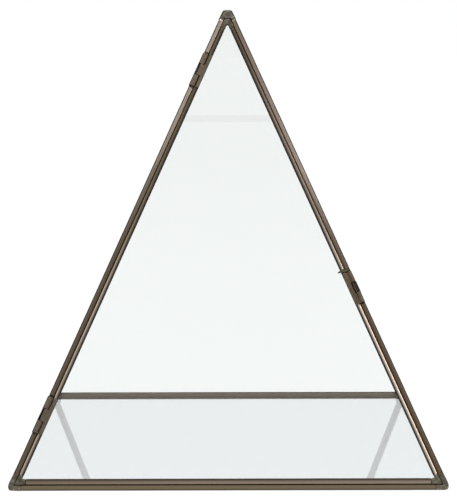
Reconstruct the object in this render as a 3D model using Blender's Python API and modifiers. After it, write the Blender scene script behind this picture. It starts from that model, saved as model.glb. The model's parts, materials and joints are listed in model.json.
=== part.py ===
"""Glass pyramid display case in an antique brass frame, with a hinged front door.

Four slanted posts rise from a square base frame to a soldered apex.  Clear panes
sit in slots in the bars.  The front pane is a triangular door of thinner bars.
It swings on two pinned hinges on its left slanted edge.  A catch on its right
slanted edge holds it shut: a pin that lifts, with a pointed thumb piece.

Units are metres, +Z is up, the door faces -Y.  The origin is the middle of the
base, on the surface that the case stands on.
"""

import math

import bmesh
import bpy
from mathutils import Matrix, Vector

MM = 0.001

# ---------------------------------------------------------------- driving sizes

# The case as a whole
CASE_WIDTH = 280.0 * MM          # outside of the base frame, both ways
APEX_RISE = 300.6 * MM           # base bar centres to where the post centres cross

# Bars of the case
BAR = 5.1 * MM                   # thickness of base rails and posts
BAR_ROUNDING = 1.6 * MM          # corner radius of their sections
CORNER_POST_REACH = 1.4 * BAR    # base corner joint, up the post
CORNER_MARGIN = 0.3 * MM         # base corner joint, along a rail past the foot of the post
CORNER_ROUNDING = 1.9 * MM       # outer corners of the base
APEX_REACH = 8.7 * MM            # apex joint, down each post
CAP_RADIUS = 3.3 * MM            # flattened cap on the apex joint
CAP_HALF_HEIGHT = 1.2 * MM
CAP_DROP = 0.2 * MM              # cap top below the crossing of the post centres

# Glass
GLASS = 1.5 * MM                 # every pane
PANE_PLAY = 0.2 * MM             # pane to slot, on each side and at the edge
PANE_SLOT_DEPTH = 1.0 * MM       # bar centre to the bottom of a side pane's slot
PANE_OUTWARD = 0.5 * MM          # side pane centre, outside the bar centres
FLOOR_SLOT_DEPTH = 1.5 * MM      # rail centre to the bottom of the floor's slot
FLOOR_DROP = 0.95 * MM           # floor pane centre, below the rail centres

# Door
GAP = 0.3 * MM                   # between pieces that nearly touch
REBATE_SIDE = 0.8 * MM           # post centre to the wall of the door's rebate
REBATE_BASE = 0.1 * MM           # rail centre to the wall of the door's rebate
SWING_GAP = 0.6 * MM             # above and below the door: its ends dip and rise as it turns
REBATE_LEVEL = -0.8 * MM         # ledge that the door closes on
DOOR_THICKNESS = 2.8 * MM
DOOR_ROUNDING = 0.9 * MM
STILE_WIDTH = 3.0 * MM
DOOR_RAIL_WIDTH = 4.0 * MM
DOOR_TOP = 7.5 * MM              # blunt top of the door, below the crossing, in the face
DOOR_CORNER_REACH = 7.0 * MM     # door corner joints, along each door bar
NOTCH_FILL = 1.0 * MM            # solder in the notch where the stiles meet
STILE_BACK = 1.3 * MM            # outer edge of a stile to its glass slot
DOOR_RAIL_BACK = 1.6 * MM        # lower edge of the door rail to its glass slot

# Hinges, on the left slanted edge
HINGE_LENGTH = 27.0 * MM         # over the pin heads
HINGE_END_OFFSET = 36.0 * MM     # outer end of each hinge to the end of the edge
HINGE_DROP = 0.5 * MM            # axis below the front of the post, over its middle
KNUCKLE_RADIUS = 1.5 * MM
PIN_RADIUS = 0.65 * MM
PIN_PLAY = 0.15 * MM
PIN_HEAD_RADIUS = 1.2 * MM
PIN_HEAD = 0.6 * MM
LEAF = 0.6 * MM                  # sheet of the hinge and catch leaves
LEAF_WRAP = 2.6 * MM             # post leaf, down the outer side of the post

# Catch, on the right slanted edge
CATCH_LENGTH = 22.4 * MM
CATCH_BASE_OFFSET = 130.0 * MM   # lower end of the catch to the base corner
CATCH_PIN_LIFT = 0.2 * MM        # pin to the front of the bars
CLIP_MOUTH = 1.5 * MM            # opening of the clip, towards the front
THUMB_REACH = 7.8 * MM           # thumb piece, from the pin centre to its point
THUMB_ROOT = 1.65 * MM           # its half width at the pin
THUMB_TIP = 0.5 * MM             # its half width at the point
THUMB_THICKNESS = 1.8 * MM

# Fineness
ROUND_STEPS = 4                  # straight pieces in each rounded corner
ROUND_SIDES = 24                 # sides of knuckles
PIN_SIDES = 16
CAP_RINGS = 8
CORNER_STEPS = 2                 # bevel of the base's outer corners
DOOR_STEPS = 3                   # bevel of the door's bars
WELD = 0.001 * MM                # vertices closer than this are one
FLAT_ANGLE = math.radians(0.5)   # faces flatter than this to each other are one
SHARP_ANGLE = math.radians(40.0)  # edges sharper than this stay sharp in shading
BEVEL_ANGLE = math.radians(30.0)  # edges sharper than this are rounded on the door

# ---------------------------------------------------------------- derived sizes

HALF_BAR = BAR / 2.0
A = CASE_WIDTH / 2.0 - HALF_BAR                  # half width between bar centres
BASE_Z = HALF_BAR                                # height of the rail centres
SLANT = math.hypot(A, APEX_RISE)                 # up the middle of a face
EDGE = math.sqrt(2.0 * A * A + APEX_RISE ** 2)   # along a slanted edge
FACE_SLOPE = math.atan2(APEX_RISE, A)            # face above the horizontal
HALF_APEX = math.atan2(A, SLANT)                 # half of a face's top angle
DIHEDRAL = math.acos(-math.cos(FACE_SLOPE) ** 2)  # between two slanted faces
CORNER_REACH = CORNER_POST_REACH * A / EDGE + HALF_BAR + CORNER_MARGIN  # along each rail

PANE_EDGE = PANE_SLOT_DEPTH + PANE_PLAY
PANE_TOP = APEX_REACH * math.cos(HALF_APEX) + HALF_BAR * math.sin(HALF_APEX) + GAP

DOOR_LOW = REBATE_LEVEL + GAP                    # back of the door, out of the face
DOOR_HIGH = DOOR_LOW + DOOR_THICKNESS
DOOR_SIDE = REBATE_SIDE + GAP
DOOR_BASE = REBATE_BASE + SWING_GAP
DOOR_MIDDLE = (DOOR_LOW + DOOR_HIGH) / 2.0
DOOR_PANE_TOP = (DOOR_SIDE + STILE_WIDTH) / math.sin(HALF_APEX)  # where the stiles meet

HINGE_OUT = HALF_BAR - HINGE_DROP                # axis, straight out from the post centre
KNUCKLE_BORE = PIN_RADIUS + PIN_PLAY
DOOR_FRONT = max(HALF_BAR, DOOR_HIGH)            # the bars' highest level
CATCH_OUT = DOOR_FRONT + CATCH_PIN_LIFT + PIN_RADIUS
CATCH_IN = REBATE_SIDE - KNUCKLE_RADIUS          # the clip stands clear of the door
LEAF_LOW = DOOR_FRONT + GAP                      # back of a leaf that lies over the bars
LEAF_EDGE = DOOR_SIDE + STILE_WIDTH              # leaves end at the stile's inner edge
CLEAR = 2.0 * BAR                                # how far a cutter reaches past a bar

# ---------------------------------------------------------------- the scene

for old in list(bpy.data.objects):
    bpy.data.objects.remove(old, do_unlink=True)

parts = bpy.data.collections.new("pyramid_display_case")
cutters = bpy.data.collections.new("cutters")
bpy.context.scene.collection.children.link(parts)
bpy.context.scene.collection.children.link(cutters)

# Finish: colour, metallic, roughness, transmission
FINISHES = {
    "antique_brass": ((0.14, 0.105, 0.072), 1.0, 0.34, 0.0),
    "worn_brass": ((0.34, 0.27, 0.17), 1.0, 0.26, 0.0),
    "solder": ((0.20, 0.17, 0.13), 1.0, 0.40, 0.0),
    "clear_glass": ((0.94, 0.96, 0.955), 0.0, 0.03, 1.0),
}


def finish(obj, kind):
    """Give an object its own material of one of the finishes."""
    colour, metallic, roughness, transmission = FINISHES[kind]
    material = bpy.data.materials.new(obj.name + "_" + kind)
    material.use_nodes = True
    shader = material.node_tree.nodes["Principled BSDF"]
    shader.inputs["Base Color"].default_value = (*colour, 1.0)
    shader.inputs["Metallic"].default_value = metallic
    shader.inputs["Roughness"].default_value = roughness
    shader.inputs["Transmission Weight"].default_value = transmission
    obj.data.materials.clear()
    obj.data.materials.append(material)


def add_object(name, mesh, matrix, collection=parts):
    """Put a mesh into the scene as an object standing at a matrix."""
    obj = bpy.data.objects.new(name, mesh)
    collection.objects.link(obj)
    obj.matrix_world = matrix
    return obj


def add_cutter(name, mesh, matrix):
    """Put in a body that only cuts others, or is joined to them."""
    obj = add_object(name, mesh, matrix, cutters)
    obj.hide_render = True
    obj.display_type = 'WIRE'
    return obj


def boolean(obj, tool, operation='DIFFERENCE'):
    """Cut an object with a cutter, or join the cutter to it."""
    modifier = obj.modifiers.new(tool.name, 'BOOLEAN')
    modifier.operation = operation
    modifier.solver = 'EXACT'
    modifier.object = tool


def smooth(mesh):
    mesh.shade_smooth()
    mesh.set_sharp_from_angle(angle=SHARP_ANGLE)


# ---------------------------------------------------------------- shapes

def rounded(points, radius):
    """An outline with each corner replaced by an arc of the given radius."""
    outline = []
    count = len(points)
    for index, point in enumerate(points):
        corner = Vector(point)
        back = (Vector(points[index - 1]) - corner).normalized()
        ahead = (Vector(points[(index + 1) % count]) - corner).normalized()
        half_angle = back.angle(ahead) / 2.0
        centre = corner + (back + ahead).normalized() * (radius / math.sin(half_angle))
        first = corner + back * (radius / math.tan(half_angle)) - centre
        last = corner + ahead * (radius / math.tan(half_angle)) - centre
        sweep = first.angle_signed(last)
        for step in range(ROUND_STEPS + 1):
            turned = first.copy()
            turned.rotate(Matrix.Rotation(-sweep * step / ROUND_STEPS, 2))
            outline.append(tuple(centre + turned))
    return outline


def extruded(name, points, thickness):
    """A closed mesh: a flat outline in XY, thickened equally up and down in Z."""
    curve = bpy.data.curves.new(name, 'CURVE')
    curve.dimensions = '2D'
    curve.fill_mode = 'BOTH'
    curve.extrude = thickness / 2.0
    spline = curve.splines.new('POLY')
    spline.points.add(len(points) - 1)
    for knot, point in zip(spline.points, points):
        knot.co = (point[0], point[1], 0.0, 1.0)
    spline.use_cyclic_u = True
    holder = bpy.data.objects.new(name, curve)
    bpy.context.scene.collection.objects.link(holder)
    graph = bpy.context.evaluated_depsgraph_get()
    mesh = bpy.data.meshes.new_from_object(holder.evaluated_get(graph))
    bpy.data.objects.remove(holder, do_unlink=True)
    bpy.data.curves.remove(curve)
    shape = bmesh.new()
    shape.from_mesh(mesh)
    bmesh.ops.remove_doubles(shape, verts=shape.verts, dist=WELD)
    bmesh.ops.dissolve_limit(shape, angle_limit=FLAT_ANGLE,
                             verts=shape.verts, edges=shape.edges)
    bmesh.ops.recalc_face_normals(shape, faces=shape.faces)
    shape.to_mesh(mesh)
    shape.free()
    mesh.name = name
    return mesh


def round_bar(name, radius, length, end_radius=None, sides=ROUND_SIDES):
    """A cylinder or cone mesh along Z, centred on the origin."""
    shape = bmesh.new()
    bmesh.ops.create_cone(shape, cap_ends=True, segments=sides, radius1=radius,
                          radius2=radius if end_radius is None else end_radius,
                          depth=length)
    mesh = bpy.data.meshes.new(name)
    shape.to_mesh(mesh)
    shape.free()
    smooth(mesh)
    return mesh


def block(name, size):
    """A box mesh centred on the origin."""
    shape = bmesh.new()
    bmesh.ops.create_cube(shape, size=1.0)
    bmesh.ops.scale(shape, vec=size, verts=shape.verts)
    mesh = bpy.data.meshes.new(name)
    shape.to_mesh(mesh)
    shape.free()
    return mesh


def hull(name, points):
    """The convex solid around a cloud of points."""
    shape = bmesh.new()
    for point in points:
        shape.verts.new(point)
    bmesh.ops.convex_hull(shape, input=shape.verts)
    loose = [vert for vert in shape.verts if not vert.link_faces]
    bmesh.ops.delete(shape, geom=loose, context='VERTS')
    bmesh.ops.dissolve_limit(shape, angle_limit=FLAT_ANGLE,
                             verts=shape.verts, edges=shape.edges)
    bmesh.ops.recalc_face_normals(shape, faces=shape.faces)
    mesh = bpy.data.meshes.new(name)
    shape.to_mesh(mesh)
    shape.free()
    smooth(mesh)
    return mesh


# ---------------------------------------------------------------- the four faces

# A face has its own frame: u to the right, v up its middle, n straight out of it,
# starting at the middle of its base line.  The front face is turned 0 degrees.
TURNS = {"front": 0.0, "right": 90.0, "back": 180.0, "left": -90.0}


def face_matrix(side):
    u = Vector((1.0, 0.0, 0.0))
    v = Vector((0.0, math.cos(FACE_SLOPE), math.sin(FACE_SLOPE)))
    n = u.cross(v)
    frame = Matrix((u, v, n)).transposed().to_4x4()
    frame.translation = (0.0, -A, BASE_Z)
    return Matrix.Rotation(math.radians(TURNS[side]), 4, 'Z') @ frame


def face_outline(base_inset, side_inset, top_below):
    """The face's triangle drawn in, with its tip cut off square."""
    top = SLANT - top_below
    outline = []
    for sign, level in ((-1, base_inset), (1, base_inset), (1, top), (-1, top)):
        half = (SLANT - level) * math.tan(HALF_APEX) - side_inset / math.cos(HALF_APEX)
        outline.append((sign * half, level))
    return outline


def face_plate(name, outline, low, high, maker=add_object, side="front"):
    """A flat piece lying in a face, between two levels out of the face."""
    mesh = extruded(name, outline, high - low)
    lift = Matrix.Translation((0.0, 0.0, (low + high) / 2.0))
    return maker(name, mesh, face_matrix(side) @ lift)


def bar_between(name, outline, start, end, inward, maker=add_object):
    """A bar of the given section, whose x axis points inward."""
    along = (end - start).normalized()
    frame = Matrix((inward, along.cross(inward), along)).transposed().to_4x4()
    frame.translation = (start + end) / 2.0
    mesh = extruded(name, outline, (end - start).length)
    smooth(mesh)
    return maker(name, mesh, frame)


APEX = Vector((0.0, 0.0, BASE_Z + APEX_RISE))


class Edge:
    """A slanted edge of a face: positions by distance below the crossing."""

    def __init__(self, face, hand):
        turn = face_matrix(face).to_3x3()
        self.hand = hand                                     # -1 left, +1 right
        self.down = turn @ Vector((hand * math.sin(HALF_APEX), -math.cos(HALF_APEX), 0.0))
        self.inward = turn @ Vector((-hand * math.cos(HALF_APEX), -math.sin(HALF_APEX), 0.0))
        self.out = turn @ Vector((0.0, 0.0, 1.0))

    def at(self, below, inward=0.0, out=0.0):
        return APEX + self.down * below + self.inward * inward + self.out * out

    def ends(self, top, bottom):
        """Start and end so that the section's y axis points out of the face."""
        return (bottom, top) if self.hand > 0 else (top, bottom)

    def frame(self, below, inward, out):
        """A matrix with x inward, y out of the face and z along the edge."""
        along = self.inward.cross(self.out)
        matrix = Matrix((self.inward, self.out, along)).transposed().to_4x4()
        matrix.translation = self.at(below, inward, out)
        return matrix


LEFT_EDGE = Edge("front", -1)
RIGHT_EDGE = Edge("front", 1)

# ---------------------------------------------------------------- sections

RAIL_SECTION = rounded([(-HALF_BAR, -HALF_BAR), (HALF_BAR, -HALF_BAR),
                        (HALF_BAR, HALF_BAR), (-HALF_BAR, HALF_BAR)], BAR_ROUNDING)


def post_section(grown=0.0):
    """A rounded diamond whose sides lie along the two faces that meet at a post."""
    other = Vector((-math.sin(DIHEDRAL), -math.cos(DIHEDRAL)))   # out of the other face
    half = HALF_BAR + grown
    corners = []
    for level, reach in ((-1, 1), (-1, -1), (1, -1), (1, 1)):
        n = level * half
        corners.append(((reach * half - other.y * n) / other.x, n))
    return rounded(corners, BAR_ROUNDING + grown)


POST_SECTION = post_section()

# ---------------------------------------------------------------- cutters

slot_half = GLASS / 2.0 + PANE_PLAY
pane_slots = {}
for side in ("left", "right", "back"):
    pane_slots[side] = face_plate(
        "cut_slot_" + side, face_outline(PANE_SLOT_DEPTH, PANE_SLOT_DEPTH, PANE_TOP - GAP),
        PANE_OUTWARD - slot_half, PANE_OUTWARD + slot_half, add_cutter, side)

floor_half = A - FLOOR_SLOT_DEPTH
floor_slot = add_cutter(
    "cut_floor_slot", block("cut_floor_slot", (2 * floor_half, 2 * floor_half, 2 * slot_half)),
    Matrix.Translation((0.0, 0.0, BASE_Z - FLOOR_DROP)))

door_rebate = face_plate(
    "cut_door_rebate", face_outline(REBATE_BASE, REBATE_SIDE, DOOR_TOP - SWING_GAP),
    REBATE_LEVEL, CLEAR, add_cutter)

apex_room = face_plate(
    "cut_apex_room", face_outline(REBATE_BASE, REBATE_SIDE - GAP, DOOR_TOP - SWING_GAP),
    REBATE_LEVEL, CLEAR, add_cutter)

front_trim = face_plate(
    "cut_front_trim", face_outline(REBATE_BASE, -CLEAR, DOOR_TOP - SWING_GAP),
    min(HALF_BAR, DOOR_HIGH), CLEAR, add_cutter)

door_slot = face_plate(
    "cut_door_slot",
    face_outline(DOOR_BASE + DOOR_RAIL_BACK, DOOR_SIDE + STILE_BACK, DOOR_PANE_TOP - PANE_PLAY),
    DOOR_MIDDLE - slot_half, DOOR_MIDDLE + slot_half, add_cutter)


def edge_cylinder(name, edge, top, bottom, inward, out, radius, sides=ROUND_SIDES,
                  maker=add_object):
    """A cylinder along an edge between two distances below the crossing."""
    mesh = round_bar(name, radius, bottom - top, sides=sides)
    return maker(name, mesh, edge.frame((top + bottom) / 2.0, inward, out))


hinges = {"upper": HINGE_END_OFFSET, "lower": EDGE - HINGE_END_OFFSET - HINGE_LENGTH}
hinge_notches = []
for level, top in hinges.items():
    hinge_notches.append(edge_cylinder(
        "cut_" + level + "_hinge_notch", LEFT_EDGE, top - GAP, top + HINGE_LENGTH + GAP,
        0.0, HINGE_OUT, KNUCKLE_RADIUS + GAP, maker=add_cutter))

catch_top = EDGE - CATCH_BASE_OFFSET - CATCH_LENGTH
catch_notch = edge_cylinder(
    "cut_catch_notch", RIGHT_EDGE, catch_top - GAP, catch_top + CATCH_LENGTH + GAP,
    CATCH_IN, CATCH_OUT, KNUCKLE_RADIUS + GAP, maker=add_cutter)

# ---------------------------------------------------------------- base frame

for side, turn in TURNS.items():
    spin = Matrix.Rotation(math.radians(turn), 4, 'Z')
    reach = A - CORNER_REACH - GAP
    start = spin @ Vector((reach, -A, BASE_Z))
    end = spin @ Vector((-reach, -A, BASE_Z))
    rail = bar_between("base_rail_" + side, RAIL_SECTION, start, end,
                       spin.to_3x3() @ Vector((0.0, 1.0, 0.0)))
    boolean(rail, floor_slot)
    boolean(rail, door_rebate if side == "front" else pane_slots[side])
    finish(rail, "antique_brass")

# ---------------------------------------------------------------- posts

POSTS = {"front_left": ("front", -1, ("left",)), "front_right": ("front", 1, ("right",)),
         "back_left": ("back", 1, ("left", "back")), "back_right": ("back", -1, ("right", "back"))}

for place, (face, hand, panes) in POSTS.items():
    edge = Edge(face, hand)
    start, end = edge.ends(edge.at(APEX_REACH + GAP), edge.at(EDGE - CORNER_POST_REACH - GAP))
    post = bar_between("post_" + place, POST_SECTION, start, end, edge.inward)
    for side in panes:
        boolean(post, pane_slots[side])
    if face == "front":
        boolean(post, door_rebate)
    if place == "front_left":
        for notch in hinge_notches:
            boolean(post, notch)
    if place == "front_right":
        boolean(post, catch_notch)
    finish(post, "antique_brass")

# ---------------------------------------------------------------- soldered joints


def section_points(outline, frame):
    return [frame @ Vector((x, y, 0.0)) for x, y in outline]


def rounded_cube_points(size, radius):
    """Corner points of a box with softened corners, about the origin."""
    shape = bmesh.new()
    bmesh.ops.create_cube(shape, size=size)
    bmesh.ops.bevel(shape, geom=shape.edges, offset=radius, segments=CORNER_STEPS,
                    profile=0.5, affect='EDGES')
    points = [vert.co.copy() for vert in shape.verts]
    shape.free()
    return points


for place, (face, hand, panes) in POSTS.items():
    edge = Edge(face, hand)
    corner = edge.at(EDGE)
    cloud = rounded_cube_points(BAR, CORNER_ROUNDING)
    for axis in (Vector((1.0, 0.0, 0.0)), Vector((0.0, 1.0, 0.0))):
        toward = axis * (-math.copysign(1.0, corner.dot(axis)))
        sideways = Vector((0.0, 0.0, 1.0)).cross(axis)
        frame = Matrix((sideways, (0.0, 0.0, 1.0), axis)).transposed().to_4x4()
        frame.translation = toward * CORNER_REACH
        cloud += section_points(RAIL_SECTION, frame)
    frame = edge.frame(EDGE - CORNER_POST_REACH, 0.0, 0.0)
    frame.translation -= corner
    cloud += section_points(POST_SECTION, frame)
    joint = add_object("corner_joint_" + place, hull("corner_joint_" + place, cloud),
                       Matrix.Translation(corner))
    boolean(joint, floor_slot)
    for side in panes:
        boolean(joint, pane_slots[side])
    if face == "front":
        boolean(joint, door_rebate)
        boolean(joint, front_trim)
    finish(joint, "solder")

cloud = []
for face, hand, panes in POSTS.values():
    frame = Edge(face, hand).frame(APEX_REACH, 0.0, 0.0)
    frame.translation -= APEX
    cloud += section_points(POST_SECTION, frame)
cap = bmesh.new()
bmesh.ops.create_uvsphere(cap, u_segments=ROUND_SIDES, v_segments=CAP_RINGS, radius=CAP_RADIUS)
squash = CAP_HALF_HEIGHT / CAP_RADIUS
for vert in cap.verts:
    cloud.append(Vector((vert.co.x, vert.co.y, vert.co.z * squash - CAP_HALF_HEIGHT - CAP_DROP)))
cap.free()
apex_joint = add_object("apex_joint", hull("apex_joint", cloud), Matrix.Translation(APEX))
boolean(apex_joint, apex_room)
finish(apex_joint, "solder")

# ---------------------------------------------------------------- panes of the case

floor_size = 2.0 * (floor_half - PANE_PLAY)
floor_glass = add_object("floor_glass", block("floor_glass", (floor_size, floor_size, GLASS)),
                         Matrix.Translation((0.0, 0.0, BASE_Z - FLOOR_DROP)))
finish(floor_glass, "clear_glass")

for side in ("left", "right", "back"):
    pane = face_plate(side + "_glass", face_outline(PANE_EDGE, PANE_EDGE, PANE_TOP),
                      PANE_OUTWARD - GLASS / 2.0, PANE_OUTWARD + GLASS / 2.0, side=side)
    finish(pane, "clear_glass")

# ---------------------------------------------------------------- door

door_pivot = bpy.data.objects.new("door_hinge_axis", None)
parts.objects.link(door_pivot)
door_pivot.matrix_world = LEFT_EDGE.frame(EDGE / 2.0, 0.0, HINGE_OUT)

catch_pivot = bpy.data.objects.new("catch_pin_axis", None)
parts.objects.link(catch_pivot)
catch_pivot.matrix_world = RIGHT_EDGE.frame(catch_top + CATCH_LENGTH / 2.0, CATCH_IN, CATCH_OUT)


def hang(obj, pivot):
    """Parent an object to a pivot without moving it."""
    bpy.context.view_layer.update()
    obj.parent = pivot
    obj.matrix_parent_inverse = pivot.matrix_world.inverted()


hang(catch_pivot, door_pivot)


def soften(obj):
    """Round the edges of a flat door piece."""
    bevel = obj.modifiers.new("rounded_edges", 'BEVEL')
    bevel.width = DOOR_ROUNDING
    bevel.segments = DOOR_STEPS
    bevel.limit_method = 'ANGLE'
    bevel.angle_limit = BEVEL_ANGLE
    bevel.use_clamp_overlap = True
    smooth(obj.data)


def door_piece(name, outline, kind):
    piece = face_plate(name, outline, DOOR_LOW, DOOR_HIGH)
    soften(piece)
    boolean(piece, door_slot)
    finish(piece, kind)
    hang(piece, door_pivot)
    return piece


door_outline = face_outline(DOOR_BASE, DOOR_SIDE, DOOR_TOP)
door_left, door_right, top_right, top_left = [Vector(point) for point in door_outline]
up_left = (top_left - door_left).normalized()
up_right = (top_right - door_right).normalized()
across = Vector((1.0, 0.0))
in_left = Vector((up_left.y, -up_left.x))
in_right = Vector((-up_right.y, up_right.x))

# Bars: each stops short of the joints at its ends.
rail_end = across * (DOOR_CORNER_REACH + GAP)
rise = Vector((0.0, DOOR_RAIL_WIDTH))
door_piece("door_rail_bottom",
           [door_left + rail_end, door_right - rail_end,
            door_right - rail_end + rise, door_left + rail_end + rise], "antique_brass")

STILES = {"left": (door_left, top_left, up_left, in_left),
          "right": (door_right, top_right, up_right, in_right)}
stiles = {}
for hand, (foot, head, up, inward) in STILES.items():
    low = foot + up * (DOOR_CORNER_REACH + GAP)
    high = head - up * (DOOR_CORNER_REACH + GAP)
    stiles[hand] = door_piece(
        "door_stile_" + hand,
        [low, high, high + inward * STILE_WIDTH, low + inward * STILE_WIDTH], "antique_brass")
for notch in hinge_notches:
    boolean(stiles["left"], notch)


def inner_corner(corner, first, first_in, first_width, second, second_in, second_width):
    """Where the inner edges of two bars that start at a corner cross."""
    start = corner + first_in * first_width
    along = (second_width - (start - corner).dot(second_in)) / first.dot(second_in)
    return start + first * along


# Bottom corners: a bent piece that takes in the end of the rail and of the stile.
for hand, (foot, head, up, inward) in STILES.items():
    side = across if hand == "left" else -across
    inside = inner_corner(foot, side, Vector((0.0, 1.0)), DOOR_RAIL_WIDTH,
                          up, inward, STILE_WIDTH)
    door_piece("door_joint_" + hand,
               [foot, foot + side * DOOR_CORNER_REACH,
                foot + side * DOOR_CORNER_REACH + rise, inside,
                foot + up * DOOR_CORNER_REACH + inward * STILE_WIDTH,
                foot + up * DOOR_CORNER_REACH], "solder")

# Top corner: blunt, with solder in the notch where the two stiles meet.
notch_level = SLANT - DOOR_PANE_TOP - NOTCH_FILL
notch_half = NOTCH_FILL * math.tan(HALF_APEX)
left_low = top_left - up_left * DOOR_CORNER_REACH
right_low = top_right - up_right * DOOR_CORNER_REACH
door_piece("door_joint_top",
           [top_left, left_low, left_low + in_left * STILE_WIDTH,
            Vector((-notch_half, notch_level)), Vector((notch_half, notch_level)),
            right_low + in_right * STILE_WIDTH, right_low, top_right], "solder")

door_glass = face_plate(
    "door_glass",
    face_outline(DOOR_BASE + DOOR_RAIL_BACK + PANE_PLAY, DOOR_SIDE + STILE_BACK + PANE_PLAY,
                 DOOR_PANE_TOP),
    DOOR_MIDDLE - GLASS / 2.0, DOOR_MIDDLE + GLASS / 2.0)
finish(door_glass, "clear_glass")
hang(door_glass, door_pivot)

# ---------------------------------------------------------------- hinge and catch parts


def tube(name, edge, top, length, inward, out):
    """A knuckle to be joined to a leaf."""
    return edge_cylinder(name, edge, top, top + length, inward, out, KNUCKLE_RADIUS,
                         maker=add_cutter)


def bore_through(piece, edge, top, length, inward, out):
    """Drill the pin's hole through every knuckle of a piece."""
    drill = edge_cylinder("cut_bore_" + piece.name, edge, top - GAP, top + length + GAP,
                          inward, out, KNUCKLE_BORE, PIN_SIDES, add_cutter)
    boolean(piece, drill)


def edge_block(name, edge, top, length, inward_span, out_span, maker=add_cutter):
    """A box along an edge, between limits inward and outward."""
    size = (inward_span[1] - inward_span[0], out_span[1] - out_span[0], length)
    return maker(name, block(name, size),
                 edge.frame(top + length / 2.0, sum(inward_span) / 2.0, sum(out_span) / 2.0))


def door_leaf(name, edge, top, length, knuckles, inward, out):
    """A flat leaf on a stile, with its knuckles and the webs that carry them."""
    strip = inward + KNUCKLE_RADIUS + 2.0 * GAP
    leaf = edge_block(name, edge, top, length, (strip, LEAF_EDGE),
                      (LEAF_LOW, LEAF_LOW + LEAF), add_object)
    for index, (start, piece) in enumerate(knuckles):
        label = "cut_" + name + "_" + str(index)
        web = edge_block(label + "_web", edge, start, piece, (inward, strip + LEAF),
                         (LEAF_LOW, LEAF_LOW + LEAF))
        boolean(leaf, web, 'UNION')
        boolean(leaf, tube(label + "_knuckle", edge, start, piece, inward, out), 'UNION')
    bore_through(leaf, edge, top, length, inward, out)
    finish(leaf, "antique_brass")
    hang(leaf, door_pivot)
    return leaf


def post_leaf(name, edge, top, length, knuckles, inward, out):
    """A leaf bent around the outer side of a post, with its knuckles."""
    start, end = edge.ends(edge.at(top), edge.at(top + length))
    leaf = bar_between(name, post_section(GAP + LEAF), start, end, edge.inward)
    core_start, core_end = edge.ends(edge.at(top - GAP), edge.at(top + length + GAP))
    core = bar_between("cut_" + name + "_core", post_section(GAP), core_start, core_end,
                       edge.inward, add_cutter)
    boolean(leaf, core)
    inner_side = edge_block("cut_" + name + "_inner", edge, top - GAP, length + 2.0 * GAP,
                            (inward, CLEAR), (-CLEAR, CLEAR))
    lower_side = edge_block("cut_" + name + "_lower", edge, top - GAP, length + 2.0 * GAP,
                            (-CLEAR, CLEAR), (-CLEAR, HALF_BAR - LEAF_WRAP))
    boolean(leaf, inner_side)
    boolean(leaf, lower_side)
    for index, (start, piece) in enumerate(knuckles):
        label = "cut_" + name + "_" + str(index)
        boolean(leaf, tube(label + "_knuckle", edge, start, piece, inward, out), 'UNION')
    bore_through(leaf, edge, top, length, inward, out)
    finish(leaf, "antique_brass")
    return leaf


# ---------------------------------------------------------------- hinges

head_space = PIN_HEAD + GAP
knuckle_length = (HINGE_LENGTH - 2.0 * head_space - 2.0 * GAP) / 3.0
for level, top in hinges.items():
    starts = [top + head_space + index * (knuckle_length + GAP) for index in range(3)]
    outer = [(starts[0], knuckle_length), (starts[2], knuckle_length)]
    middle = [(starts[1], knuckle_length)]
    leaf_top = starts[0]
    leaf_length = HINGE_LENGTH - 2.0 * head_space
    door_leaf(level + "_hinge_door_leaf", LEFT_EDGE, leaf_top, leaf_length, middle,
              0.0, HINGE_OUT)
    fixed = post_leaf(level + "_hinge_post_leaf", LEFT_EDGE, leaf_top, leaf_length, outer,
                      0.0, HINGE_OUT)
    turning_room = edge_block("cut_" + level + "_turning_room", LEFT_EDGE, starts[1] - GAP,
                              knuckle_length + 2.0 * GAP, (-CLEAR, BAR),
                              (HINGE_OUT, HINGE_OUT + CLEAR))
    boolean(fixed, turning_room)
    pin = edge_cylinder(level + "_hinge_pin", LEFT_EDGE, top, top + HINGE_LENGTH,
                        0.0, HINGE_OUT, PIN_RADIUS, PIN_SIDES)
    for end, start in (("top", top), ("bottom", top + HINGE_LENGTH - PIN_HEAD)):
        head = edge_cylinder("cut_" + level + "_pin_head_" + end, LEFT_EDGE,
                             start, start + PIN_HEAD, 0.0, HINGE_OUT,
                             PIN_HEAD_RADIUS, PIN_SIDES, add_cutter)
        boolean(pin, head, 'UNION')
    finish(pin, "worn_brass")

# ---------------------------------------------------------------- catch

# The door's leaf carries the pin in two knuckles.  The clip between them belongs
# to the post, and is open to the front, so the pin leaves it as the door opens.
catch_piece = (CATCH_LENGTH - 2.0 * GAP) / 3.0
catch_starts = [catch_top + index * (catch_piece + GAP) for index in range(3)]
catch_outer = [(catch_starts[0], catch_piece), (catch_starts[2], catch_piece)]
door_leaf("catch_door_leaf", RIGHT_EDGE, catch_top, CATCH_LENGTH, catch_outer,
          CATCH_IN, CATCH_OUT)

clip = post_leaf("catch_post_clip", RIGHT_EDGE, catch_starts[1], catch_piece,
                 [(catch_starts[1], catch_piece)], CATCH_IN, CATCH_OUT)
mouth = edge_block("cut_clip_mouth", RIGHT_EDGE, catch_starts[1] - GAP, catch_piece + 2.0 * GAP,
                   (CATCH_IN - CLIP_MOUTH / 2.0, CATCH_IN + CLIP_MOUTH / 2.0),
                   (CATCH_OUT, CATCH_OUT + 2.0 * KNUCKLE_RADIUS))
boolean(clip, mouth)

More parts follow.
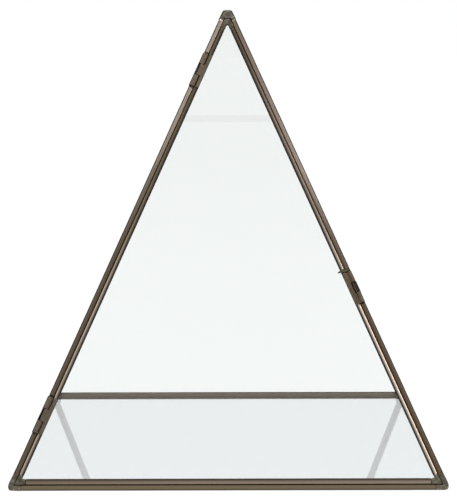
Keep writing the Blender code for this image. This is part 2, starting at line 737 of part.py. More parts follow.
# The pin: a shaft, with a flat pointed thumb piece bent over the door at its top.
thumb_out = max(CATCH_OUT, DOOR_FRONT + CATCH_PIN_LIFT + THUMB_THICKNESS / 2.0)
thumb_centre = catch_top - GAP - THUMB_ROOT
catch_pin = edge_cylinder("catch_pin", RIGHT_EDGE, thumb_centre, catch_top + CATCH_LENGTH,
                          CATCH_IN, CATCH_OUT, PIN_RADIUS, PIN_SIDES)
thumb_mesh = round_bar("cut_catch_thumb", THUMB_ROOT, THUMB_REACH, THUMB_TIP, PIN_SIDES)
thumb_lie = RIGHT_EDGE.frame(thumb_centre, CATCH_IN + THUMB_REACH / 2.0 - PIN_RADIUS, thumb_out)
flatten = Matrix.Diagonal((1.0, THUMB_THICKNESS / (2.0 * THUMB_ROOT), 1.0, 1.0))
thumb = add_cutter("cut_catch_thumb", thumb_mesh,
                   thumb_lie @ Matrix.Rotation(math.radians(90.0), 4, 'Y') @ flatten)
boolean(catch_pin, thumb, 'UNION')
finish(catch_pin, "worn_brass")
hang(catch_pin, catch_pivot)
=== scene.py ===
# %% [markdown]
# # A glass pyramid display case in an aged brass frame
#
# The case has four slanted posts on a square base, panes of clear glass, and a
# triangular door that swings on its left slanted edge. The engineering model already
# gives the sizes, the places and the joints. These cells give it its looks: bars with
# the soft unevenness of hand work, solder that flowed, patina that wore off where
# fingers go, painted highlights and painted shade in the bars' colour, and glass that
# mirrors as real panes do.

import json
import math

import bmesh
import bpy
from mathutils import Matrix, Vector, noise


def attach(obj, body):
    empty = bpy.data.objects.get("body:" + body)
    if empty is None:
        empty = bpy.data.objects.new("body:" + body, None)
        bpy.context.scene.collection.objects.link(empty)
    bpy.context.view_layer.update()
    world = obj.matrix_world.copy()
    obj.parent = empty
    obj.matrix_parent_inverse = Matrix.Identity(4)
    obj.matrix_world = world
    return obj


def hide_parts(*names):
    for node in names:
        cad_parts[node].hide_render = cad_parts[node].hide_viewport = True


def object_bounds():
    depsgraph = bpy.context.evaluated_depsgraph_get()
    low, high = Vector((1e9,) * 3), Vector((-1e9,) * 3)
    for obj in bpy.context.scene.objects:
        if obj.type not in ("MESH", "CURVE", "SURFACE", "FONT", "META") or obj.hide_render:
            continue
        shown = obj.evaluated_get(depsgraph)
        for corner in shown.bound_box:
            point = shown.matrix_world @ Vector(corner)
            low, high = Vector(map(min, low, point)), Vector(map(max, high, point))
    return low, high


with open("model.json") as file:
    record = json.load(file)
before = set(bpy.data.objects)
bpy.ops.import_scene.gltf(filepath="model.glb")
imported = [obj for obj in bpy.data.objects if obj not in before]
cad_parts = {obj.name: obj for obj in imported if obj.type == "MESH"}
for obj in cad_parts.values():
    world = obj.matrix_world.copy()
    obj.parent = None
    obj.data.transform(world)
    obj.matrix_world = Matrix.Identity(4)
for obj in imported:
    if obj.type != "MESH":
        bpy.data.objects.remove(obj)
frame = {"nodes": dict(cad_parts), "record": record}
cad_low, cad_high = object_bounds()
nodes = frame["nodes"]
body_of_node = {name: body for body, names in frame["record"]["behaviour"]["bodies"].items()
                for name in names}
print("frame:", len(nodes), "nodes, box", [round(x, 4) for x in cad_high - cad_low])

# %% [markdown]
# ## Where the edges run
#
# Every bar follows an edge of the pyramid, so one small set of vectors places all the
# details. The half width comes from the box of the model, less half a bar. The point
# where the posts' centres would cross lies just above the flattened cap.

# %% The pyramid's own directions
MM = 0.001
BAR = 5.1 * MM             # thickness of a case bar
CAP_DROP = 0.2 * MM        # how far the cap lies below the point where the edges cross
half_width = (cad_high.x - cad_low.x) / 2.0 - BAR / 2.0
base_level = cad_low.z + BAR / 2.0
apex = Vector((0.0, 0.0, cad_high.z + CAP_DROP))
corners = {name: Vector((x * half_width, y * half_width, base_level))
           for name, x, y in (("front_left", -1, -1), ("front_right", 1, -1),
                              ("back_left", -1, 1), ("back_right", 1, 1))}
edge_length = (apex - corners["front_left"]).length
print("slanted edge:", round(edge_length / MM, 1), "mm")

# %% [markdown]
# ## The camera
#
# The case is seen from far away, level with its top and looking slightly down, so its
# lines hardly converge. A long lens at more than a metre gives that calm perspective. The
# camera stands a hair to the right, as nobody centres a stand perfectly.

# %% Camera
CAMERA_PLACE = Vector((0.0004, -1.2475, 0.2985))
CAMERA_PITCH = math.radians(-7.42)
CAMERA_ROLL = -0.0022      # radians: the camera is tipped by an eighth of a degree
LENS = 129.0               # millimetres, on a sensor 36 mm wide
camera_data = bpy.data.cameras.new("camera")
camera_data.lens = LENS
camera_data.sensor_width = 36.0
camera = bpy.data.objects.new("camera", camera_data)
bpy.context.scene.collection.objects.link(camera)
camera.location = CAMERA_PLACE
camera.rotation_euler = (Matrix.Rotation(math.radians(90.0) + CAMERA_PITCH, 3, "X")
                         @ Matrix.Rotation(CAMERA_ROLL, 3, "Z")).to_euler()
bpy.context.scene.camera = camera
print("camera:", round(CAMERA_PLACE.length, 3), "m from the middle of the base")

# %% [markdown]
# ## Writing materials as expressions
#
# Wiring nodes by hand hides the idea behind a material. Here a socket is wrapped in a
# small class whose operators add the nodes, so a mask can be written as `1 - wear`.
# Numbers go through Math nodes, vectors through Vector Math and colours through Mix.
# Any other node comes from the one method `node`.

# %% The socket wrapper
class Wire:
    """An output socket that can be used in a Python expression."""

    def __init__(self, tree, socket):
        self.tree = tree
        self.socket = socket

    def _join(self, operation, first, second):
        kind = "ShaderNodeVectorMath" if self.socket.type == "VECTOR" else "ShaderNodeMath"
        return self.tree.node(kind, {"operation": operation}, {0: first, 1: second})

    def __add__(self, other):
        return self._join("ADD", self, other)

    def __radd__(self, other):
        return self._join("ADD", other, self)

    def __sub__(self, other):
        return self._join("SUBTRACT", self, other)

    def __rsub__(self, other):
        return self._join("SUBTRACT", other, self)

    def __mul__(self, other):
        return self._join("MULTIPLY", self, other)

    def __rmul__(self, other):
        return self._join("MULTIPLY", other, self)

    def __truediv__(self, other):
        return self._join("DIVIDE", self, other)

    def __rtruediv__(self, other):
        return self._join("DIVIDE", other, self)


class Tree:
    """The nodes of one material or of the world."""

    def __init__(self, owner):
        owner.use_nodes = True
        self.nodes = owner.node_tree.nodes
        self.links = owner.node_tree.links
        self.nodes.clear()

    def node(self, kind, settings=None, sockets=None, out=None):
        """Add a node: settings first, then its sockets. Gives the wanted output."""
        made = self.nodes.new(kind)
        for key, value in (settings or {}).items():
            if key == "stops":
                self._stops(made.color_ramp.elements, value)
            else:
                setattr(made, key, value)
        for key, value in (sockets or {}).items():
            socket = made.inputs[key] if isinstance(key, int) else next(
                s for s in made.inputs if s.enabled and s.name == key)
            if isinstance(value, Wire):
                self.links.new(value.socket, socket)
            elif socket.type == "VECTOR" or socket.type == "RGBA":
                size = len(socket.default_value)
                socket.default_value = (*value, 1.0)[:size]
            else:
                socket.default_value = value
        if not made.outputs:
            return None
        found = made.outputs[out] if out else next(s for s in made.outputs if s.enabled)
        return Wire(self, found)

    @staticmethod
    def _stops(elements, stops):
        while len(elements) < len(stops):
            elements.new(1.0)
        for element, (position, colour) in zip(elements, stops):
            element.position = position
            element.color = (*colour, 1.0)

    def blend(self, share, first, second):
        """A mix of two colours."""
        return self.node("ShaderNodeMix", {"data_type": "RGBA"},
                         {"Factor": share, "A": first, "B": second})

    def clouds(self, place, per_metre, detail=3.0, roughness=0.55):
        """Soft noise with a given number of cells to the metre."""
        return self.node("ShaderNodeTexNoise", {}, {
            "Vector": place, "Scale": per_metre, "Detail": detail, "Roughness": roughness},
            "Fac")

    def between(self, value, low, high):
        """0 below low, 1 above high, and a smooth step from one to the other."""
        return self.node("ShaderNodeMapRange", {"interpolation_type": "SMOOTHSTEP"}, {
            "Value": value, "From Min": low, "From Max": high})


def new_material(name):
    material = bpy.data.materials.new(name)
    return material, Tree(material)


print("shader helpers are ready")

# %% [markdown]
# ## Aged brass
#
# The bars are brass that was darkened in a chemical bath and then rubbed, so there are
# three metals in one: nearly black patina, warm brown, and brass that shines through.
# The bright brass is also a painted highlight on the front bars, and the near black lips
# are also painted shade.
# The bath also leaves a thin film that turns rose, violet or olive. A single colour would
# look like paint.
#
# Three attributes on the mesh steer it. `bar_place` is a point measured along and across
# its own bar, because rubbing leaves streaks that run with the bar. `rubbed` is 0
# on the lips of a bar, which are painted near black as shade along its edges and where it
# meets the glass, with some patina there too. `bar_share` is the share of the bar's length,
# and `polish_and_highlight` tells how much bare brass colour is painted there: brass bared by
# hands on some stretches, and a painted highlight where a lamp catches the front bars.

# %% Colours of the metal
DUST = (0.20, 0.17, 0.13)
# near black painted into the lips of the bars: painted shade, with some patina
SHADE_AND_PATINA_BLACK = (0.012, 0.010, 0.008)
# bright brass, painted for rubbed wear and as a painted highlight on the front bars
BRASS_WEAR_AND_HIGHLIGHT = (0.97, 0.81, 0.67)
PATINA = [(0.30, (0.041, 0.030, 0.020)), (0.45, (0.086, 0.064, 0.043)),
          (0.57, (0.124, 0.094, 0.063)), (0.72, (0.210, 0.167, 0.114))]
FILM_FIRST = 0.32          # where the first film colour sits on the noise,
FILM_SPAN = 0.36           # and how far on the last one is
BROWN_FILM = [(1.0, 0.86, 0.76), (1.0, 0.93, 0.86), (0.96, 0.98, 0.90)]
ROSE_FILM = [(0.96, 0.66, 0.62), (1.0, 0.78, 0.64), (1.0, 0.90, 0.74), (0.84, 0.80, 0.92)]
OLIVE_FILM = [(0.86, 0.92, 0.66), (1.0, 0.96, 0.74), (0.98, 0.86, 0.70)]
EVEN = [(0.0, 0.04), (1.0, 0.04)]      # hardly any painted bare brass, for wear and highlight, from end to end


def brighter(stops, brightness):
    """The stops of a colour ramp with every colour scaled."""
    return [(position, [part * brightness for part in colour]) for position, colour in stops]


print("aged brass: 3 films")

# %% Aged brass
def patina_colour(tree, place, age, tints, film, brightness):
    """Darkened brass under a tinted film, before any rubbing."""
    metal = tree.node("ShaderNodeValToRGB", {"stops": brighter(PATINA, brightness)},
                      {"Fac": age})
    drift = tree.clouds(place * (1.0, 1.0, 0.5), 60.0, 2.0)
    count = len(tints) - 1
    film_colour = tree.node("ShaderNodeValToRGB", {"stops": [
        (FILM_FIRST + FILM_SPAN * index / count, tint) for index, tint in enumerate(tints)]},
        {"Fac": drift})
    return tree.node("ShaderNodeMix", {"data_type": "RGBA", "blend_type": "MULTIPLY"},
                     {"Factor": film, "A": metal, "B": film_colour})


def bare_and_highlight_share(tree, polish_and_highlight):
    """How much bare brass colour is painted, from stops along the bar: worn brass, and a painted
    highlight.
    """
    share = tree.node("ShaderNodeAttribute", {"attribute_name": "bar_share"}, {}, "Fac")
    return tree.node("ShaderNodeValToRGB", {"stops": [
        (position, (amount, amount, amount)) for position, amount in polish_and_highlight]}, {"Fac": share})


def aged_brass(name, place_shift, tints, polish_and_highlight, brightness=1.0, film=0.5, rough=0.38,
               along=True):
    """tints are the colours of the patina film, from low to high.
    polish_and_highlight lists how much bare brass colour is painted, at shares of the bar's
    length: partly wear, partly a painted highlight.
    along is true for a bar, and false for a piece without bar_place."""
    material, tree = new_material(name)
    if along:
        place = tree.node("ShaderNodeAttribute", {"attribute_name": "bar_place"}, {}, "Vector")
    else:
        place = tree.node("ShaderNodeTexCoord", {}, {}, "Object")
    rubbed = tree.node("ShaderNodeAttribute", {"attribute_name": "rubbed"}, {}, "Fac")
    place = place + place_shift
    blotches = tree.clouds(place * (1.0, 1.0, 0.35), 110.0)
    streaks = tree.clouds(place * ((1.0, 1.0, 0.05) if along else (1.0, 1.0, 1.0)), 800.0)
    grain = tree.clouds(place * (1.0, 1.0, 0.4), 1800.0, 2.0)
    age = blotches * 0.55 + streaks * 0.30 + rubbed * 0.15
    filmed = patina_colour(tree, place, age, tints, film, brightness)
    dusty = tree.blend(tree.between(grain, 0.56, 0.72) * 0.2, filmed, DUST)
    # bare brass colour: partly wear, partly a painted highlight along the front bars
    bare_and_highlight = bare_and_highlight_share(tree, polish_and_highlight) * rubbed * (0.7 + 0.6 * streaks)
    worn_and_highlight_brass = tree.blend(0.5, dusty, BRASS_WEAR_AND_HIGHLIGHT)
    shown = tree.blend(bare_and_highlight, dusty, tree.blend(0.25, BRASS_WEAR_AND_HIGHLIGHT, worn_and_highlight_brass))
    # the lips are painted near black: painted shade along the edges and where the bar meets the
    # glass, partly patina
    colour = tree.blend(rubbed, tree.blend(0.8, dusty, SHADE_AND_PATINA_BLACK), shown)
    bump = tree.node("ShaderNodeBump", {}, {
        "Strength": 0.25, "Distance": 0.05 * MM, "Height": streaks * 0.6 + grain * 0.4},
        "Normal")
    shader = tree.node("ShaderNodeBsdfPrincipled", {}, {
        "Base Color": colour, "Metallic": 1.0, "Normal": bump,
        "Roughness": rough + streaks * 0.16 - blotches * 0.10 - bare_and_highlight * 0.12,
        "Coat Weight": 0.35, "Coat Roughness": 0.25})
    tree.node("ShaderNodeOutputMaterial", {}, {"Surface": shader})
    return material


print("aged brass is ready")

# %% [markdown]
# ## Solder and pins
#
# The corners were filled with solder and coloured with the rest, but solder takes the
# bath less well. It stays greyer, lighter and duller, and small pits from the flux stay
# dark. The pins and the thumb piece are smooth and kept their olive-black coat, with a
# little brass showing where it has worn.

# %% Solder and pins
SOLDER_GREY = [(0.34, (0.070, 0.060, 0.046)), (0.50, (0.110, 0.096, 0.074)),
               (0.68, (0.190, 0.172, 0.136))]
FLUX_PIT = (0.03, 0.024, 0.018)
WORN_OLIVE = (0.13, 0.115, 0.065)
OLIVE_BLACK = (0.025, 0.022, 0.012)


def dull_solder(name, brightness):
    material, tree = new_material(name)
    place = tree.node("ShaderNodeTexCoord", {}, {}, "Object")
    patches = tree.clouds(place, 260.0, 3.0)
    grain = tree.clouds(place, 1500.0, 3.0, 0.6)
    pits = tree.between(grain, 0.62, 0.70)
    metal = tree.node("ShaderNodeValToRGB", {"stops": brighter(SOLDER_GREY, brightness)},
                      {"Fac": patches})
    colour = tree.blend(pits * 0.5, metal, FLUX_PIT)
    height = patches * 0.5 + grain * 0.5 - pits
    bump = tree.node("ShaderNodeBump", {}, {
        "Strength": 0.35, "Distance": 0.08 * MM, "Height": height}, "Normal")
    shader = tree.node("ShaderNodeBsdfPrincipled", {}, {
        "Base Color": colour, "Metallic": 1.0, "Roughness": 0.34 + grain * 0.2,
        "Normal": bump})
    tree.node("ShaderNodeOutputMaterial", {}, {"Surface": shader})
    return material


def olive_brass(name):
    material, tree = new_material(name)
    place = tree.node("ShaderNodeTexCoord", {}, {}, "Object")
    worn = tree.between(tree.clouds(place, 420.0, 3.0), 0.36, 0.62)
    scratches = tree.clouds(place * (1.0, 1.0, 6.0), 700.0, 2.0)
    colour = tree.blend(worn, OLIVE_BLACK, WORN_OLIVE)
    bump = tree.node("ShaderNodeBump", {}, {
        "Strength": 0.3, "Distance": 0.05 * MM, "Height": scratches}, "Normal")
    shader = tree.node("ShaderNodeBsdfPrincipled", {}, {
        "Base Color": colour, "Metallic": 1.0, "Roughness": 0.42 - worn * 0.18,
        "Normal": bump})
    tree.node("ShaderNodeOutputMaterial", {}, {"Surface": shader})
    return material


print("solder and olive brass are ready")

# %% [markdown]
# ## Clear glass
#
# A pane mirrors 8 % of the light that meets it head on, and far more at a glancing
# angle, which is why the floor pane shows the rear edges upside down. A shader that bends
# light would do this too, but a thin pane shifts nothing visibly, and rays that bend make
# noise. So the pane lets rays straight through with a breath of grey green, and mirrors
# them by the Fresnel law. Both of its surfaces are counted where the ray enters: if one
# mirrors a share r, two together mirror 2r / (1 + r). On leaving, nothing more happens.

# %% Clear glass
def clear_glass(name, tint):
    material, tree = new_material(name)
    one_surface = tree.node("ShaderNodeFresnel", {}, {"IOR": 1.5})
    leaving = tree.node("ShaderNodeNewGeometry", {}, {}, "Backfacing")
    both = one_surface * 2.0 / (one_surface + 1.0)
    share = both * (1.0 - leaving)
    through = tree.node("ShaderNodeBsdfTransparent", {}, {"Color": tint})
    mirror = tree.node("ShaderNodeBsdfAnisotropic", {}, {
        "Color": (1.0, 1.0, 1.0), "Roughness": 0.0})
    shader = tree.node("ShaderNodeMixShader", {}, {0: share, 1: through, 2: mirror})
    tree.node("ShaderNodeOutputMaterial", {}, {"Surface": shader})
    return material


pane_glass = clear_glass("clear_glass", (0.968, 0.976, 0.972))
floor_pane_glass = clear_glass("floor_glass", (0.955, 0.968, 0.975))
PANES = {"left_glass": pane_glass, "right_glass": pane_glass, "back_glass": pane_glass,
         "door_glass": pane_glass, "floor_glass": floor_pane_glass}
for name, glass in PANES.items():
    pane = nodes[name]
    pane.data.materials.clear()
    pane.data.materials.append(glass)
print("glass on", len(PANES), "panes")

# %% [markdown]
# ## Bars
#
# The frame is made of drawn brass bar, straightened by hand. Its section, its slots for
# the glass and its notches for the hinges are already right in the engineering model, so
# each bar starts from those faces. They are long and flat, and a highlight on them would
# be a ruled line. The cure is to cut them into short lengths, round the section further by
# subdivision while its sharp lips stay creased, and push every point in or out by a few
# hundredths of a millimetre of smooth noise. That breaks the highlights as on real bars.

# %% From engineering faces to a fine mesh
FLAT = math.radians(0.5)       # faces that turn less than this are made one
SHARP = math.radians(50.0)     # edges that turn more than this stay crisp


def faces_of(node):
    """The node's faces with doubled points joined and flat neighbours made one."""
    shape = bmesh.new()
    shape.from_mesh(nodes[node].data)
    bmesh.ops.remove_doubles(shape, verts=shape.verts, dist=0.001 * MM)
    bmesh.ops.dissolve_limit(shape, angle_limit=FLAT, verts=shape.verts, edges=shape.edges)
    bmesh.ops.recalc_face_normals(shape, faces=shape.faces)
    return shape


def slice_along(shape, start, along, length, pitch):
    """Cut the faces across at equal steps between the two ends of a bar."""
    steps = max(2, round(length / pitch))
    for index in range(1, steps):
        bmesh.ops.bisect_plane(
            shape, geom=shape.verts[:] + shape.edges[:] + shape.faces[:], dist=1e-7,
            plane_co=start + along * (length * index / steps), plane_no=along)


def crease_lips(shape):
    """Sharp edges stay sharp when the mesh is subdivided."""
    layer = shape.edges.layers.float.get("crease_edge")
    if layer is None:
        layer = shape.edges.layers.float.new("crease_edge")
    for edge in shape.edges:
        if len(edge.link_faces) != 2 or edge.calc_face_angle() > SHARP:
            edge[layer] = 1.0


def dimples(point, depth, wavelength):
    """Smooth unevenness at a point, in metres."""
    place = point / wavelength
    return depth * (noise.noise(place) + 0.5 * noise.noise(place * 2.3 + Vector((7.1, 3.3, 5.9))))


def applied(obj):
    """The object's mesh with its modifiers applied."""
    graph = bpy.context.evaluated_depsgraph_get()
    mesh = bpy.data.meshes.new_from_object(obj.evaluated_get(graph))
    obj.modifiers.clear()
    old = obj.data
    obj.data = mesh
    bpy.data.meshes.remove(old)
    mesh.name = obj.name
    return mesh


def add_piece(name, shape, node):
    """An object made from a mesh under construction, which stands for a CAD node."""
    mesh = bpy.data.meshes.new(name)
    shape.to_mesh(mesh)
    shape.free()
    obj = bpy.data.objects.new(name, mesh)
    bpy.context.scene.collection.objects.link(obj)
    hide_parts(node)
    return obj


def settle(obj, node, material):
    """Shade, paint and hang a finished piece."""
    obj.data.shade_smooth()
    obj.data.set_sharp_from_angle(angle=SHARP)
    obj.data.materials.clear()
    obj.data.materials.append(material)
    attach(obj, body_of_node[node])


print("mesh helpers are ready")

# %% Bars of the case and of the door
PITCH = 4.0 * MM           # length of one step of the mesh along a bar
BAR_DEPTH = 0.045 * MM     # depth of the unevenness, and the distance from one
BAR_WAVE = 17.0 * MM       # hollow to the next
END_ZONE = 1.0 * MM        # points this near to an end belong to its cut face
RUN_IN = 0.5 * MM          # how far a bar's end is let into the solder
WIDE_SHADED_LIP = 1.5 * MM   # width of the painted shade lip on the shaded side
NARROW_SHADED_LIP = 0.5 * MM        # width of the painted shade lip on the other side
FULL_SHADE_SHARE = 0.1            # the share of a lip that gets the full painted shade


def run_in_ends(shape, start, along):
    """Let both ends of a bar into the solder. Gives where the bar first began and ended."""
    reach = [(vert.co - start).dot(along) for vert in shape.verts]
    first, last = min(reach), max(reach)
    for vert, step in zip(shape.verts, reach):
        if step < first + END_ZONE:
            vert.co -= along * RUN_IN
        elif step > last - END_ZONE:
            vert.co += along * RUN_IN
    return first, last


def lay_out(mesh, start, end, shaded_side):
    """The attributes that place the patina, the painted shade and the painted highlight on a bar.
    """
    along = (end - start).normalized()
    places = mesh.attributes.new("bar_place", "FLOAT_VECTOR", "POINT")
    rubbed = mesh.attributes.new("rubbed", "FLOAT", "POINT")
    shares = mesh.attributes.new("bar_share", "FLOAT", "POINT")
    side = (shaded_side - along * shaded_side.dot(along)).normalized()
    up = side.cross(along)
    across = [(vert.co - start).dot(side) for vert in mesh.vertices]
    low, high = min(across), max(across)
    for vert, offset in zip(mesh.vertices, across):
        step = (vert.co - start).dot(along)
        rise = (vert.co - start).dot(up)
        places.data[vert.index].vector = (offset, rise, step)
        shares.data[vert.index].value = step / (end - start).length
        # 0 on the lips: painted shade along the bar's edges and where it meets the glass
        inside = min((offset - low) / NARROW_SHADED_LIP, (high - offset) / WIDE_SHADED_LIP)
        rubbed.data[vert.index].value = min(1.0, max(0.0, inside - FULL_SHADE_SHARE))


def push_out(mesh, swell, depth, wavelength):
    """Move every point along its normal, by an even swell and by smooth dimples."""
    pushed = [vert.co + vert.normal * (swell + dimples(vert.co, depth, wavelength))
              for vert in mesh.vertices]
    for vert, point in zip(mesh.vertices, pushed):
        vert.co = point


def aged_bar(node, start, end, shaded_side, material):
    """A fine bar from a CAD node that runs from start to end.
    shaded_side points to the side of the bar that gets the wider lip of painted shade."""
    shape = faces_of(node)
    along = (end - start).normalized()
    first, last = run_in_ends(shape, start, along)
    slice_along(shape, start + along * first, along, last - first, PITCH)
    crease_lips(shape)
    obj = add_piece(node + "_bar", shape, node)
    rounding = obj.modifiers.new("rounding", "SUBSURF")
    rounding.levels = rounding.render_levels = 1
    mesh = applied(obj)
    mesh.update()
    lay_out(mesh, start, end, shaded_side)
    push_out(mesh, 0.0, BAR_DEPTH, BAR_WAVE)
    settle(obj, node, material)
    return obj


print("a bar is cut every", round(PITCH / MM, 1), "mm")

# %% Posts
LEFT, RIGHT, UP, DOWN = (Vector(way) for way in ((-1, 0, 0), (1, 0, 0), (0, 0, 1), (0, 0, -1)))
# the last stops give bare brass colour along each bar: partly wear, partly a painted highlight
# where a lamp catches the front bars
POSTS = {
    "front_left": (LEFT, aged_brass(
        "brass_post_front_left", (0.0, 0.0, 0.0), BROWN_FILM,
        [(0.0, 0.45), (0.25, 0.42), (0.38, 0.12), (0.52, 0.0), (1.0, 0.0)])),
    "front_right": (RIGHT, aged_brass(
        "brass_post_front_right", (0.3, 0.0, 0.1), ROSE_FILM,
        [(0.0, 0.12), (0.2, 0.3), (0.36, 0.4), (0.5, 0.08), (0.6, 0.0), (1.0, 0.0)],
        film=0.8)),
    "back_left": (LEFT, aged_brass(
        "brass_post_back_left", (0.6, 0.2, 0.0), BROWN_FILM, EVEN)),
    "back_right": (RIGHT, aged_brass(
        "brass_post_back_right", (0.9, 0.1, 0.3), OLIVE_FILM, EVEN))}
for place, (shaded_side, finish) in POSTS.items():
    aged_bar("post_" + place, apex, corners[place], shaded_side, finish)
print("posts:", ", ".join(POSTS))

# %% Base rails
rail_finish = aged_brass("brass_rails", (0.2, 0.5, 0.7), OLIVE_FILM, EVEN, film=0.8)
RAIL_ENDS = {"front": ("front_left", "front_right"), "right": ("front_right", "back_right"),
             "back": ("back_right", "back_left"), "left": ("back_left", "front_left")}
for side, (first, last) in RAIL_ENDS.items():
    aged_bar("base_rail_" + side, corners[first], corners[last], DOWN, rail_finish)
print("rails:", ", ".join(RAIL_ENDS))

# %% Bars of the door
# the last stops give bare brass colour along each bar: partly wear, partly a painted highlight,
# brightest low on the right stile
DOOR_BARS = {
    "door_rail_bottom": ("front_left", corners["front_right"], UP, aged_brass(
        "brass_door_rail", (0.4, 0.9, 0.2), BROWN_FILM,
        [(0.0, 0.06), (0.4, 0.16), (1.0, 0.2)], brightness=1.1)),
    "door_stile_left": ("front_left", apex, RIGHT, aged_brass(
        "brass_stile_left", (0.8, 0.4, 0.5), OLIVE_FILM,
        [(0.0, 0.4), (0.4, 0.4), (0.55, 0.08), (0.7, 0.0)], film=0.6)),
    "door_stile_right": ("front_right", apex, LEFT, aged_brass(
        "brass_stile_right", (0.1, 0.7, 0.9), ROSE_FILM,
        [(0.0, 1.0), (0.38, 1.0), (0.55, 0.35), (0.8, 0.25), (0.9, 0.05)], film=0.7))}
for node, (first, end, shaded_side, finish) in DOOR_BARS.items():
    aged_bar(node, corners[first], end, shaded_side, finish)
print("door bars:", ", ".join(DOOR_BARS))

# %% [markdown]
# ## Soldered joints and hardware
#
# Solder runs into a corner, bridges it and freezes with a soft skin, so it has no sharp
# edge anywhere. The hinge leaves and knuckles are thin sheet, bent, filed and soldered on,
# with edges that wore round. Modelling each fillet by hand would be slow, and a bevel on
# such small crossing shapes breaks. Turning the shape into a fine grid of cubes and
# relaxing it rounds every edge at once, as wear does. Noise then adds the small lumps.

# %% Rounding by wear
def worn_round(node, name, voxel, relax, depth, wavelength, material,
               swell=0.0, reshape=None, in_painted_shade=None):
    """A rounded, slightly lumpy copy of a CAD node.
    voxel is the grid's step and relax the number of rounds that soften it. Lumps are
    depth high and wavelength apart. reshape moves the points of the CAD shape first.
    in_painted_shade tells which points are painted dark as shade."""
    shape = faces_of(node)
    if reshape:
        for vert in shape.verts:
            vert.co = reshape(vert.co)
    obj = add_piece(name, shape, node)
    grid = obj.modifiers.new("grid", "REMESH")
    grid.mode = "VOXEL"
    grid.voxel_size = voxel
    relaxing = obj.modifiers.new("relaxing", "SMOOTH")
    relaxing.factor = 0.5
    relaxing.iterations = relax
    mesh = applied(obj)
    mesh.update()
    push_out(mesh, swell, depth, wavelength)
    # points on the outer side of a wrapped post get 0, which paints them dark as shade
    rubbed = mesh.attributes.new("rubbed", "FLOAT", "POINT")
    rubbed.data.foreach_set("value", [
        0.0 if in_painted_shade and in_painted_shade(vert.co) else 1.0 for vert in mesh.vertices])
    settle(obj, node, material)
    return obj


print("wear is ready")

# %% Soldered joints
SOLDER_GRID = 0.22 * MM    # side of the cubes that the shape is turned into
JOINT_SWELL = 0.07 * MM    # how far solder stands proud of a joint,
APEX_SWELL = 0.25 * MM     # and of the apex, where it was heaped up
solder = dull_solder("solder", 1.3)
JOINTS = {"corner_joint_" + place: JOINT_SWELL for place in corners}
JOINTS["apex_joint"] = APEX_SWELL
JOINTS.update({"door_joint_" + place: JOINT_SWELL for place in ("left", "right", "top")})
total = 0
for node, swell in JOINTS.items():
    lump = worn_round(node, node + "_solder", SOLDER_GRID, 3, 0.04 * MM, 4.0 * MM,
                      solder, swell)
    total += len(lump.data.polygons)
print("solder:", len(JOINTS), "joints,", total, "faces")

# %% [markdown]
# The leaves and the clip that wrap the outer side of a post need room in the engineering
# model. On a finished case they are pressed tight to the post and hardly show from the
# front, so here that side is pulled in and thinned, and its outside is painted dark as
# shade.

# %% Sheet that wraps a post
CLEARANCE = 0.3 * MM       # what the sheet stands off the post in the engineering model
THINNED = 0.6              # the worn sheet, as a share of its thickness
SHADE_DEPTH = 0.5 * MM   # the painted shade begins this far inside the post's outline
FRONT_OUT = (corners["front_left"] - apex).cross(corners["front_right"] - apex).normalized()


def outer_side(place):
    """The direction in the front face that leads away from the door."""
    side = (corners[place] - apex).cross(FRONT_OUT).normalized()
    return side if side.dot(corners[place]) > 0.0 else -side


def hugging(side):
    """Pulls the sheet on the outer side of a post close to it, and thins it."""
    def pull(point):
        off = (point - apex).dot(side) - BAR / 2.0
        if off <= CLEARANCE / 2.0:
            return point
        return point + side * ((off - CLEARANCE) * THINNED - off)
    return pull


def on_shaded_outside(side):
    """Tells whether a point lies on the outer side of a post."""
    return lambda point: (point - apex).dot(side) > BAR / 2.0 - SHADE_DEPTH


print("sheet is pulled in by", round(CLEARANCE / MM, 1), "mm")

# %% Hinges and catch
HARDWARE_GRID = 0.13 * MM  # finer than for solder, as the sheet is thin
leaf_finish = aged_brass("brass_leaves", (0.5, 0.3, 0.6), BROWN_FILM, EVEN, rough=0.42,
                         along=False)
catch_finish = aged_brass("brass_catch", (0.2, 0.8, 0.4), ROSE_FILM, EVEN, film=0.8,
                          rough=0.40, along=False)
pin_finish = olive_brass("rubbed_pins")
HARDWARE = {"upper_hinge_door_leaf": leaf_finish, "upper_hinge_post_leaf": leaf_finish,
            "lower_hinge_door_leaf": leaf_finish, "lower_hinge_post_leaf": leaf_finish,
            "catch_door_leaf": catch_finish, "catch_post_clip": catch_finish,
            "upper_hinge_pin": pin_finish, "lower_hinge_pin": pin_finish,
            "catch_pin": pin_finish}
WRAPPED = {"upper_hinge_post_leaf": "front_left", "lower_hinge_post_leaf": "front_left",
           "catch_post_clip": "front_right"}
total = 0
for node, finish in HARDWARE.items():
    reshape, in_painted_shade = None, None
    if node in WRAPPED:
        side = outer_side(WRAPPED[node])
        reshape, in_painted_shade = hugging(side), on_shaded_outside(side)
    part = worn_round(node, node + "_worn", HARDWARE_GRID, 2, 0.03 * MM, 2.2 * MM,
                      finish, reshape=reshape, in_painted_shade=in_painted_shade)
    total += len(part.data.polygons)
print("hardware:", len(HARDWARE), "pieces,", total, "faces")

# %% [markdown]
# ## Floor, light and surroundings
#
# The case stands on a wide sheet of white paper. Nearly all of the paper's white is its
# own glow, which keeps shadows on it very faint. The camera sees plain white beyond it,
# but metal and glass mirror a room that is a little greyer overhead and dark to the left
# and the right, as if black flags stood there. The flags give the round bars dark edges.
# Three soft lights hang high up, so that no pane mirrors them into a view from the front.

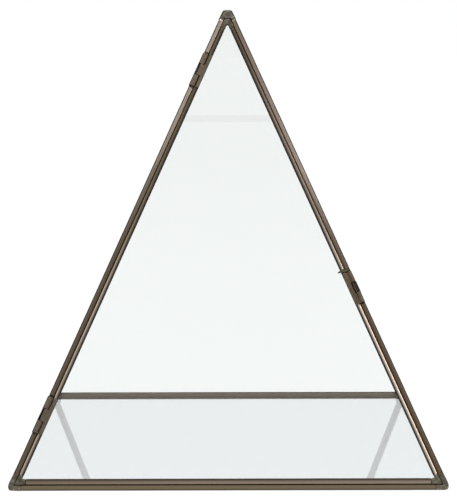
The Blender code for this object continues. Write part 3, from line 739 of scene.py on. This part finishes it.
# %% Floor
FLOOR_HALF = 12.0          # metres, so its edge is never in view
FLOOR_GAP = 0.1 * MM       # the solder swells a little below the bars
floor_shape = bmesh.new()
bmesh.ops.create_grid(floor_shape, x_segments=2, y_segments=2, size=FLOOR_HALF)
floor_mesh = bpy.data.meshes.new("paper_floor")
floor_shape.to_mesh(floor_mesh)
floor_shape.free()
floor = bpy.data.objects.new("paper_floor", floor_mesh)
bpy.context.scene.collection.objects.link(floor)
floor.location.z = cad_low.z - FLOOR_GAP
paper, tree = new_material("white_paper")
matte = tree.node("ShaderNodeBsdfDiffuse", {}, {"Color": (0.10, 0.10, 0.10)})
glow = tree.node("ShaderNodeEmission", {}, {"Color": (1.0, 1.0, 1.0), "Strength": 0.97})
both = tree.node("ShaderNodeAddShader", {}, {0: matte, 1: glow})
tree.node("ShaderNodeOutputMaterial", {}, {"Surface": both})
floor.data.materials.append(paper)
print("floor at", round(floor.location.z / MM, 3), "mm")

# %% Surroundings
world = bpy.data.worlds.new("studio")
bpy.context.scene.world = world
bpy.context.scene.view_settings.view_transform = "Standard"
tree = Tree(world)
direction = tree.node("ShaderNodeTexCoord", {}, {}, "Generated")
height = tree.node("ShaderNodeSeparateXYZ", {}, {"Vector": direction}, "Z")
walls = tree.node("ShaderNodeValToRGB", {"stops": [
    (0.0, (0.9, 0.9, 0.9)), (0.30, (0.85, 0.85, 0.86)), (0.50, (0.78, 0.78, 0.79)),
    (0.80, (0.55, 0.55, 0.56))]}, {"Fac": height})
across = tree.node("ShaderNodeSeparateXYZ", {}, {"Vector": direction}, "X")
sideways = tree.node("ShaderNodeMath", {"operation": "ABSOLUTE"}, {0: across})
flags = tree.between(sideways, 0.36, 0.60)
room = tree.blend(flags * 0.80, walls, (0.0, 0.0, 0.0))
seen = tree.node("ShaderNodeBackground", {}, {"Color": (1.0, 1.0, 1.0), "Strength": 1.0})
mirrored = tree.node("ShaderNodeBackground", {}, {"Color": room, "Strength": 1.0})
to_camera = tree.node("ShaderNodeLightPath", {}, {}, "Is Camera Ray")
sky = tree.node("ShaderNodeMixShader", {}, {0: to_camera, 1: mirrored, 2: seen})
tree.node("ShaderNodeOutputWorld", {}, {"Surface": sky})
print("surroundings: white, with dark flags at the sides in reflections")

# %% Lights
LIGHTS = {"left_soft": ((-1.3, -1.0, 1.5), 1.0, 6.0),
          "right_soft": ((1.4, -1.0, 1.5), 1.0, 8.0),
          "top_soft": ((0.0, 0.3, 1.9), 1.2, 14.0)}      # place, side in metres, watts
AIM = Vector((0.0, 0.0, 0.15))
for name, (place, side, power) in LIGHTS.items():
    data = bpy.data.lights.new(name, "AREA")
    data.shape = "RECTANGLE"
    data.size, data.size_y = side, side
    data.energy = power
    light = bpy.data.objects.new(name, data)
    bpy.context.scene.collection.objects.link(light)
    light.location = place
    light.rotation_euler = (AIM - light.location).to_track_quat("-Z", "Y").to_euler()
print("lights:", ", ".join(LIGHTS))
